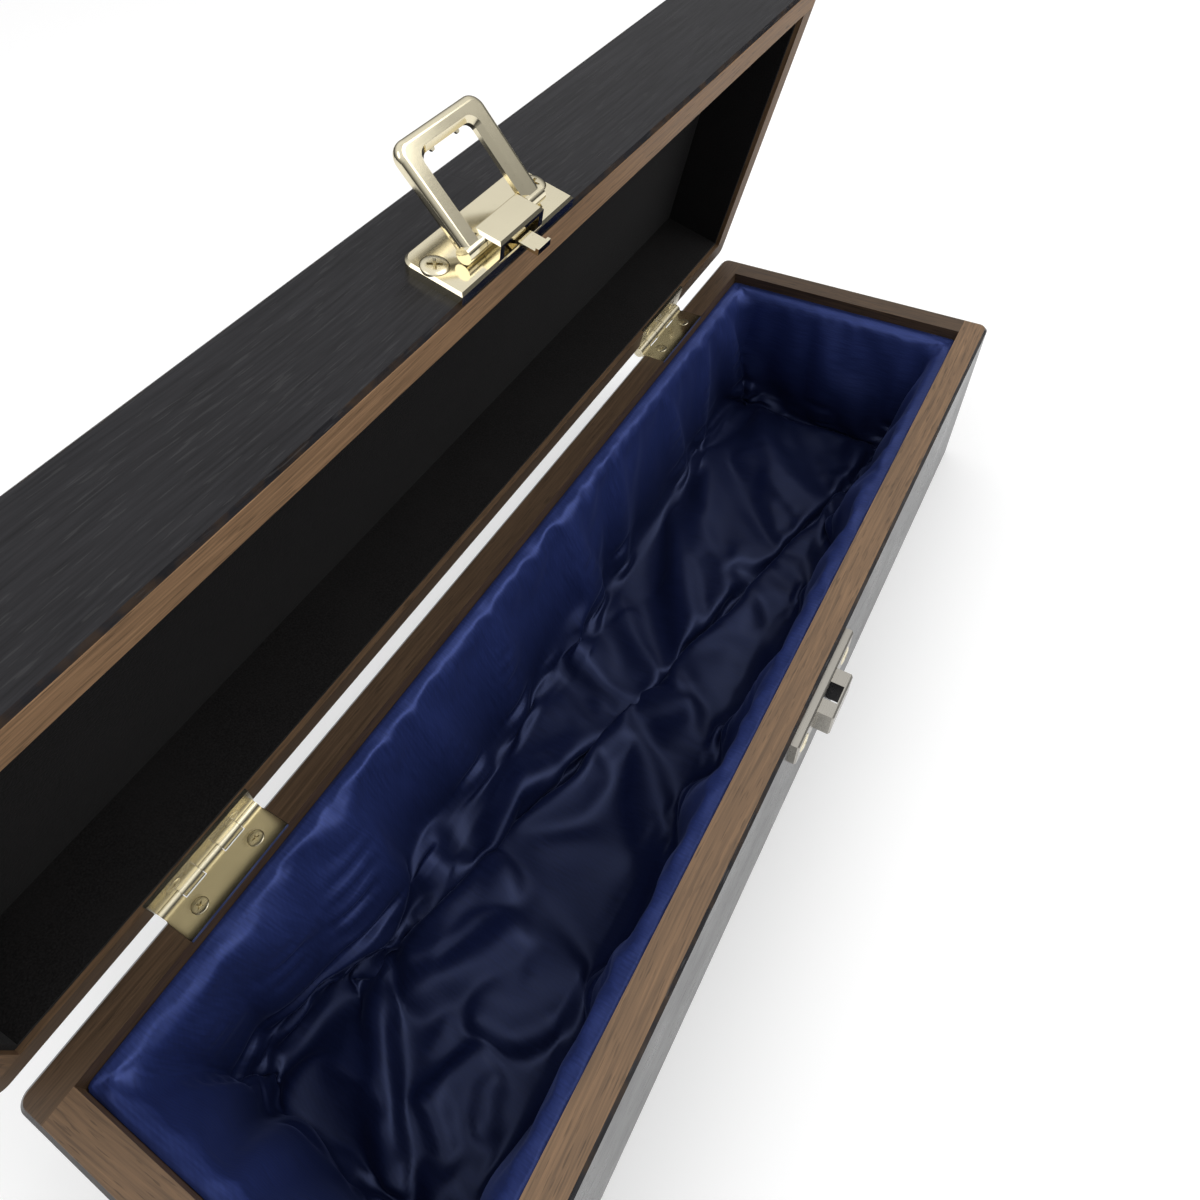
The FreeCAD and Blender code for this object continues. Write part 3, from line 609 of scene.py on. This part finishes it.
def model_screw(name, head, head_depth, shank, length, crown):
    """A cross-head screw pointing down, with the middle of its face at the origin."""
    deselect()
    bpy.ops.mesh.primitive_cylinder_add(vertices=48, radius=head - 0.03 * MM, depth=head_depth,
                                        location=(0, 0, -head_depth / 2))
    screw = bpy.context.object
    screw.name = name
    settle(screw)
    pick(screw, "FACE", lambda face: face.normal.z < -0.9)
    bpy.ops.mesh.inset(thickness=head - shank)
    bpy.ops.mesh.extrude_region_move(TRANSFORM_OT_translate={"value": (0, 0, head_depth - length * 0.72)})
    bpy.ops.mesh.extrude_region_move(TRANSFORM_OT_translate={"value": (0, 0, -length * 0.26)})
    bpy.ops.transform.resize(value=(0.16, 0.16, 1))
    pick(screw, "FACE", lambda face: face.normal.z > 0.9 and face.center.z > -0.01 * MM)
    bpy.ops.mesh.inset(thickness=0.16 * head)
    bpy.ops.transform.translate(value=(0, 0, 0.62 * crown))
    bpy.ops.mesh.inset(thickness=0.26 * head)
    bpy.ops.transform.translate(value=(0, 0, 0.30 * crown))
    bpy.ops.mesh.inset(thickness=0.3 * head)
    bpy.ops.transform.translate(value=(0, 0, 0.08 * crown))
    pick(screw, "EDGE", lambda edge: abs(middle(screw.data, edge).z) < 0.01 * MM)
    bpy.ops.mesh.bevel(offset=0.18 * MM, segments=3)
    bpy.ops.object.mode_set(mode="OBJECT")
    cutter = cross_cutter(0.26 * head, 0.62 * head, 0.62 * head_depth)
    activate(screw)
    recess = screw.modifiers.new("cross recess", "BOOLEAN")
    recess.object = cutter
    recess.solver = "EXACT"
    bpy.ops.object.modifier_apply(modifier=recess.name)
    bpy.data.objects.remove(cutter)
    bpy.ops.object.shade_smooth_by_angle(angle=math.radians(35))
    return screw


def set_screws(name, master, heads, direction, body, node, material):
    """Copy a screw to its heads, join the copies and let them stand for the node."""
    copies = []
    for number, (point, roll) in enumerate(heads):
        copy = bpy.data.objects.new(f"{name}_{number}", master.data.copy())
        bpy.context.collection.objects.link(copy)
        turn = Vector((0, 0, -1)).rotation_difference(direction).to_matrix().to_4x4()
        copy.matrix_world = Matrix.Translation(point) @ turn @ Matrix.Rotation(math.radians(roll), 4, "Z")
        copies.append(copy)
    deselect()
    for copy in copies:
        copy.select_set(True)
    bpy.context.view_layer.objects.active = copies[0]
    bpy.ops.object.join()
    screws = bpy.context.object
    screws.name = name
    settle(screws)
    screws.data.materials.clear()
    screws.data.materials.append(material)
    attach(screws, body)
    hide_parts(node)


class WINEBOX_OT_drive_screws(bpy.types.Operator):
    """Model the cross-head screws once and set a copy in every hole"""

    bl_idname = "winebox.drive_screws"
    bl_label = "Drive the screws"

    def execute(self, context):
        hinge = model_screw("hinge_screw", sizes().hinge_head, 0.9 * MM, 0.9 * MM, 8 * MM, 0.14 * MM)
        plate = model_screw("plate_screw", sizes().plate_head, 1.8 * MM, 1.2 * MM, 8.6 * MM, 0.5 * MM)
        metal = nickel_material("screw_nickel", colours().champagne, rough=0.2, brushed=0.08)
        open_lid = Matrix.Translation(HINGE_AXIS) @ Matrix.Rotation(-LID_OPEN, 4, "X") @ \
            Matrix.Translation(-HINGE_AXIS)
        turned = Matrix.Rotation(-LID_OPEN, 3, "X")
        base_heads = [(Vector((x * MM, 52.8 * MM, RIM_HEIGHT)), roll) for x, roll in HINGE_SPOTS]
        lid_heads = [(open_lid @ Vector((x * MM, 52.8 * MM, LID_RIM)), roll + 33)
                     for x, roll in HINGE_SPOTS]
        set_screws("base_hinge_cross_screws", hinge, base_heads, Vector((0, 0, -1)), "base",
                   "base_hinge_screws", metal)
        set_screws("lid_hinge_cross_screws", hinge, lid_heads, turned @ Vector((0, 0, 1)), "lid",
                   "lid_hinge_screws", metal)
        keeper_heads = [(Vector((x * MM, -59.9 * MM, 59.55 * MM)), roll) for x, roll in KEEPER_SPOTS]
        set_screws("keeper_cross_screws", plate, keeper_heads, Vector((0, 1, 0)), "base",
                   "keeper_screws", metal)
        latch_heads = [(open_lid @ Vector((x * MM, -60.3 * MM, 77.7 * MM)), roll)
                       for x, roll in LATCH_SPOTS]
        set_screws("latch_cross_screws", plate, latch_heads, turned @ Vector((0, 1, 0)), "lid",
                   "latch_screws", metal)
        bpy.data.objects.remove(hinge)
        bpy.data.objects.remove(plate)
        return {"FINISHED"}


def bed_shell(name, reach, foot, top, ledge, foot_round, corner_round, ridge_round, scale):
    """An open tray with a ledge round its top, rounded along its foot, corners and ridge."""
    deselect()
    bpy.ops.mesh.primitive_cube_add(size=1, location=(0, 0, scale * (foot + top) / 2))
    shell = bpy.context.object
    shell.name = name
    shell.scale = (2 * scale * reach[0], 2 * scale * reach[1], scale * (top - foot))
    settle(shell)
    pick(shell, "FACE", lambda face: face.normal.z > 0.9)
    bpy.ops.mesh.delete(type="ONLY_FACE")
    high = scale * top - 1e-5
    pick(shell, "EDGE", lambda edge: middle(shell.data, edge).z > high)
    bpy.ops.mesh.extrude_edges_move()
    bpy.ops.transform.resize(value=(ledge[0] / reach[0], ledge[1] / reach[1], 1))
    bpy.ops.mesh.select_all(action="SELECT")
    bpy.ops.mesh.flip_normals()

    def upright(edge):
        first, second = (shell.data.vertices[index].co for index in edge.vertices)
        return abs(first.z - second.z) > scale * 10 * MM

    def level(edge, height):
        return not upright(edge) and abs(middle(shell.data, edge).z - scale * height) < 1e-4

    def ridge(edge):
        point = middle(shell.data, edge)
        inner = abs(point.x) < scale * reach[0] + 1e-4 and abs(point.y) < scale * reach[1] + 1e-4
        return level(edge, top) and inner

    pick(shell, "EDGE", upright)
    bpy.ops.mesh.bevel(offset=scale * corner_round, segments=4, profile=0.5)
    pick(shell, "EDGE", lambda edge: level(edge, foot))
    bpy.ops.mesh.bevel(offset=scale * foot_round, segments=4, profile=0.5)
    pick(shell, "EDGE", ridge)
    bpy.ops.mesh.bevel(offset=scale * ridge_round, segments=4, profile=0.5)
    bpy.ops.object.mode_set(mode="OBJECT")
    return shell


def slice_up(piece, step):
    """Cut a shell into near-square faces by level planes along each axis."""
    activate(piece)
    corners = [Vector(corner) for corner in piece.bound_box]
    bpy.ops.object.mode_set(mode="EDIT")
    for axis in range(3):
        low = min(corner[axis] for corner in corners)
        high = max(corner[axis] for corner in corners)
        count = max(2, round((high - low) / step))
        normal = [0.0, 0.0, 0.0]
        normal[axis] = 1.0
        for cut in range(1, count):
            point = [0.0, 0.0, 0.0]
            point[axis] = low + (high - low) * cut / count
            bpy.ops.mesh.select_all(action="SELECT")
            bpy.ops.mesh.bisect(plane_co=point, plane_no=normal)
    bpy.ops.mesh.select_all(action="SELECT")
    bpy.ops.mesh.remove_doubles(threshold=step * 0.22)
    bpy.ops.object.mode_set(mode="OBJECT")


def lay_out(piece, scale):
    """Give the sheet a flat layout in metres, so that the weave follows the cloth."""
    mesh = piece.data
    layer = mesh.uv_layers.new(name="cut")
    for face in mesh.polygons:
        tilt = face.normal
        for corner in face.loop_indices:
            point = mesh.vertices[mesh.loops[corner].vertex_index].co / scale
            if abs(tilt.z) >= max(abs(tilt.x), abs(tilt.y)):
                spot = (point.x, point.y)
            elif abs(tilt.y) >= abs(tilt.x):
                spot = (point.x, point.z)
            else:
                spot = (point.z, point.y)
            layer.data[corner].uv = spot


def ease(value):
    """A smooth step from 0 to 1."""
    value = max(0.0, min(1.0, value))
    return value * value * (3 - 2 * value)


def fold_height(point):
    """How far the folds lift the floor of the satin at a point."""
    lift = 0.0
    spot = Vector((point.x / MM, point.y / MM))
    for line, height, left, right in FLOOR_FOLDS:
        best = None
        for number in range(len(line) - 1):
            first = Vector(line[number])
            run = Vector(line[number + 1]) - first
            share = max(0.0, min(1.0, (spot - first).dot(run) / run.length_squared))
            away = spot - first - share * run
            if best is None or away.length < best[0]:
                side = run.x * away.y - run.y * away.x
                along = (number + share) / (len(line) - 1)
                best = (away.length, left if side > 0 else right, along)
        taper = ease(min(best[2], 1 - best[2]) / 0.22 + 0.15)
        lift = max(lift, height * taper * math.exp(-(best[0] / best[1]) ** 2))
    return lift * MM


def hang_height(point, edge, depth):
    """How far the hanging folds stand off the wall at a point; depth runs from 0 at the top to 1."""
    long_wall = edge[1] - abs(point.y) < edge[0] - abs(point.x)
    if long_wall:
        wall = "back" if point.y > 0 else "front"
    else:
        wall = "right" if point.x > 0 else "left"
    place = (point.x if long_wall else point.y) / MM
    lift = 0.0
    for name, start, end, height, reach in WALL_FOLDS:
        if name == wall:
            away = place - start - (end - start) * depth
            wide = reach * (0.45 + 0.75 * depth)
            lean = 0.75 if away * (end - start) > 0 else 1.1
            lift = max(lift, height * ease(depth / 0.5) * math.exp(-(away / (wide * lean)) ** 2))
    return lift * MM


def stirred(point, normal, foot, top, edge):
    """Lift a point of the sheet to its folds, with a little unevenness."""
    rough = 0.7 * noise.noise(point * 21) + 0.35 * noise.noise(point * 55 + Vector((3, 1, 7)))
    level = ease((normal.z - 0.35) / 0.45)
    depth = max(0.0, min(1.0, (top - point.z) / (top - foot)))
    lift = level * fold_height(point) + (1 - level) * hang_height(point, edge, depth)
    return point + normal * (lift + 0.9 * MM * max(-0.3, rough) * ease(depth / 0.4))


class WINEBOX_OT_drape_satin(bpy.types.Operator):
    """Lay an oversize satin sheet in the padded bed and let it settle into folds"""

    bl_idname = "winebox.drape_satin"
    bl_label = "Drape the satin"

    def execute(self, context):
        scale = CLOTH_SCALE
        pad = sizes().wadding
        top = BED_TOP
        edge = (CAVITY_X - 0.2 * MM, CAVITY_Y - 0.2 * MM)
        foot = BED_FOOT
        wadding = bed_shell("wadding", (edge[0] - pad, edge[1] - pad), foot - 2.2 * MM, top - 1.6 * MM, edge,
                            9 * MM, 7 * MM, 4.0 * MM, scale)
        inner = (edge[0] - pad - 2.0 * MM, edge[1] - pad - 2.0 * MM)
        sheet = bed_shell("satin_bed", inner, foot, top, edge, 10 * MM, 7 * MM, 5.0 * MM, scale)
        slice_up(sheet, scale * sizes().satin_step)
        lay_out(sheet, scale)
        rim = sheet.vertex_groups.new(name="glued_edge")
        for point in sheet.data.vertices:
            spot = point.co / scale
            if abs(spot.x) > edge[0] - 0.1 * MM or abs(spot.y) > edge[1] - 0.1 * MM:
                rim.add([point.index], 1.0, "REPLACE")
            elif spot.z < top - 3 * MM:
                point.co = stirred(spot, point.normal, foot, top, edge) * scale
        wadding.modifiers.new("Collision", "COLLISION")
        wadding.collision.thickness_outer = 0.004
        wadding.collision.thickness_inner = 0.05
        wadding.collision.cloth_friction = 15.0
        wadding.collision.damping = 0.6
        cloth = sheet.modifiers.new("Cloth", "CLOTH")
        cloth.settings.quality = 8
        cloth.settings.mass = 0.25
        cloth.settings.tension_stiffness = 30
        cloth.settings.compression_stiffness = 30
        cloth.settings.shear_stiffness = 8
        cloth.settings.bending_model = "ANGULAR"
        cloth.settings.bending_stiffness = 3.0
        cloth.settings.tension_damping = 8
        cloth.settings.compression_damping = 8
        cloth.settings.shear_damping = 8
        cloth.settings.bending_damping = 0.6
        cloth.settings.air_damping = 2.5
        cloth.settings.vertex_group_mass = "glued_edge"
        cloth.settings.shrink_min = -sizes().satin_slack
        cloth.settings.effector_weights.gravity = 0.15
        cloth.collision_settings.use_collision = True
        cloth.collision_settings.distance_min = 0.004
        cloth.collision_settings.collision_quality = 3
        cloth.collision_settings.use_self_collision = False
        cloth.point_cache.frame_start = 1
        cloth.point_cache.frame_end = SETTLE_FRAMES
        for moment in range(1, SETTLE_FRAMES + 1):
            context.scene.frame_set(moment)
        activate(sheet)
        bpy.ops.object.modifier_apply(modifier=cloth.name)
        context.scene.frame_set(1)
        bpy.data.objects.remove(wadding)
        sheet.vertex_groups.clear()
        sheet.scale = (1 / scale, 1 / scale, 1 / scale)
        settle(sheet)
        for point in sheet.data.vertices:
            point.co.x = max(-edge[0], min(edge[0], point.co.x))
            point.co.y = max(-edge[1], min(edge[1], point.co.y))
            point.co.z = max(5.6 * MM, min(top + 1.0 * MM, point.co.z))
        finer = sheet.modifiers.new("finer", "SUBSURF")
        finer.levels = 1
        finer.render_levels = 1
        bpy.ops.object.modifier_apply(modifier=finer.name)
        bpy.ops.object.shade_smooth()
        thick = sheet.modifiers.new("thickness", "SOLIDIFY")
        thick.thickness = sizes().satin_thickness
        thick.offset = -1.0
        bpy.ops.object.modifier_apply(modifier=thick.name)
        sheet.data.materials.append(satin_material())
        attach(sheet, "base")
        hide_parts(*SATIN_NODES)
        return {"FINISHED"}


class WINEBOX_OT_set_stage(bpy.types.Operator):
    """Lay the pale floor, set the lamps and place the camera"""

    bl_idname = "winebox.set_stage"
    bl_label = "Set the stage"

    def execute(self, context):
        scene = context.scene
        deselect()
        bpy.ops.mesh.primitive_grid_add(x_subdivisions=8, y_subdivisions=8, size=sizes().floor_size,
                                        location=(0, 0, CAD_BOX[0][2]))
        floor = bpy.context.object
        floor.name = "paper_floor"
        settle(floor)
        material, tree, shader = new_material("floor_paper")
        place = add(tree, "ShaderNodeTexCoord").outputs["Object"]
        tooth = add(tree, "ShaderNodeTexNoise", {"Vector": place, "Scale": 900.0, "Detail": 2.0})
        pale = colours().paper
        tone = blend_colour(tree, tooth.outputs["Fac"], rgba([0.985 * value for value in pale]), rgba(pale))
        tree.links.new(tone, shader.inputs["Base Color"])
        shader.inputs["Roughness"].default_value = 0.9
        seen = add(tree, "ShaderNodeLightPath")
        shown = math_node(tree, "MAXIMUM", seen.outputs["Is Camera Ray"], seen.outputs["Is Glossy Ray"])
        shown = math_node(tree, "MAXIMUM", shown, seen.outputs["Is Transmission Ray"])
        shader.inputs["Emission Color"].default_value = (1.0, 1.0, 1.0, 1.0)
        tree.links.new(math_node(tree, "MULTIPLY", shown, 0.2), shader.inputs["Emission Strength"])
        floor.data.materials.append(material)

        world = bpy.data.worlds.new("soft_room")
        scene.world = world
        world.use_nodes = True
        air = world.node_tree.nodes["Background"]
        heading = add(world.node_tree, "ShaderNodeTexCoord").outputs["Generated"]
        height = add(world.node_tree, "ShaderNodeSeparateXYZ", {0: heading}).outputs[2]
        overhead = spread(world.node_tree, height, 0.05, 0.85, 0.06, 1.0, smooth=True)
        seen = add(world.node_tree, "ShaderNodeLightPath").outputs["Is Camera Ray"]
        shown = math_node(world.node_tree, "MAXIMUM", overhead, seen)
        world.node_tree.links.new(shown, air.inputs["Strength"])
        air.inputs["Color"].default_value = (1.0, 1.0, 1.0, 1.0)
        lamps = (("key_softbox", (0.55, -0.75, 1.25), 1.1, 6.0), ("fill_softbox", (-0.9, 0.35, 1.2), 0.9, 2.6))
        for name, place, width, power in lamps:
            lamp = bpy.data.lights.new(name, "AREA")
            lamp.shape = "DISK"
            lamp.size = width
            lamp.energy = power
            holder = bpy.data.objects.new(name, lamp)
            holder.location = place
            aim = Vector((0, 0, 0.05)) - Vector(place)
            holder.rotation_euler = aim.to_track_quat("-Z", "Y").to_euler()
            context.collection.objects.link(holder)

        lens = bpy.data.cameras.new("photo_camera")
        lens.sensor_width = 36.0
        lens.lens = 25.403
        lens.shift_y = -0.05354
        lens.clip_start = 0.01
        camera = bpy.data.objects.new("photo_camera", lens)
        right = Vector((0.50525, -0.8607, -0.06268))
        down = Vector((-0.68113, -0.35313, -0.64137))
        ahead = Vector((0.52989, 0.36674, -0.76466))
        turn = Matrix((right, -down, -ahead)).transposed()
        camera.matrix_world = Matrix.Translation((-0.130804, -0.077188, 0.281096)) @ turn.to_4x4()
        context.collection.objects.link(camera)
        scene.camera = camera
        scene.view_settings.view_transform = "Standard"
        return {"FINISHED"}


class WINEBOX_PT_panel(bpy.types.Panel):
    """Lists the steps that finish the wine box"""

    bl_idname = "WINEBOX_PT_panel"
    bl_label = "Wine Box"
    bl_space_type = "VIEW_3D"
    bl_region_type = "UI"
    bl_category = "Wine Box"

    def draw(self, context):
        for step in STEPS:
            self.layout.operator(step.bl_idname)
        for group in (context.scene.wine_box_sizes, context.scene.wine_box_colours):
            box = self.layout.box()
            for name in group.__annotations__:
                box.prop(group, name)


STEPS = (WINEBOX_OT_stain_walls, WINEBOX_OT_flock_lid, WINEBOX_OT_plate_hardware, WINEBOX_OT_drive_screws,
         WINEBOX_OT_drape_satin, WINEBOX_OT_set_stage)
CLASSES = (WineBoxSizes, WineBoxColours) + STEPS + (WINEBOX_PT_panel,)


def register():
    for item in CLASSES:
        bpy.utils.register_class(item)
    bpy.types.Scene.wine_box_sizes = bpy.props.PointerProperty(type=WineBoxSizes)
    bpy.types.Scene.wine_box_colours = bpy.props.PointerProperty(type=WineBoxColours)


def unregister():
    del bpy.types.Scene.wine_box_colours
    del bpy.types.Scene.wine_box_sizes
    for item in reversed(CLASSES):
        bpy.utils.unregister_class(item)


def main():
    register()
    bpy.ops.winebox.stain_walls()
    bpy.ops.winebox.flock_lid()
    bpy.ops.winebox.plate_hardware()
    bpy.ops.winebox.drive_screws()
    bpy.ops.winebox.drape_satin()
    bpy.ops.winebox.set_stage()


if __name__ == "__main__":
    main()
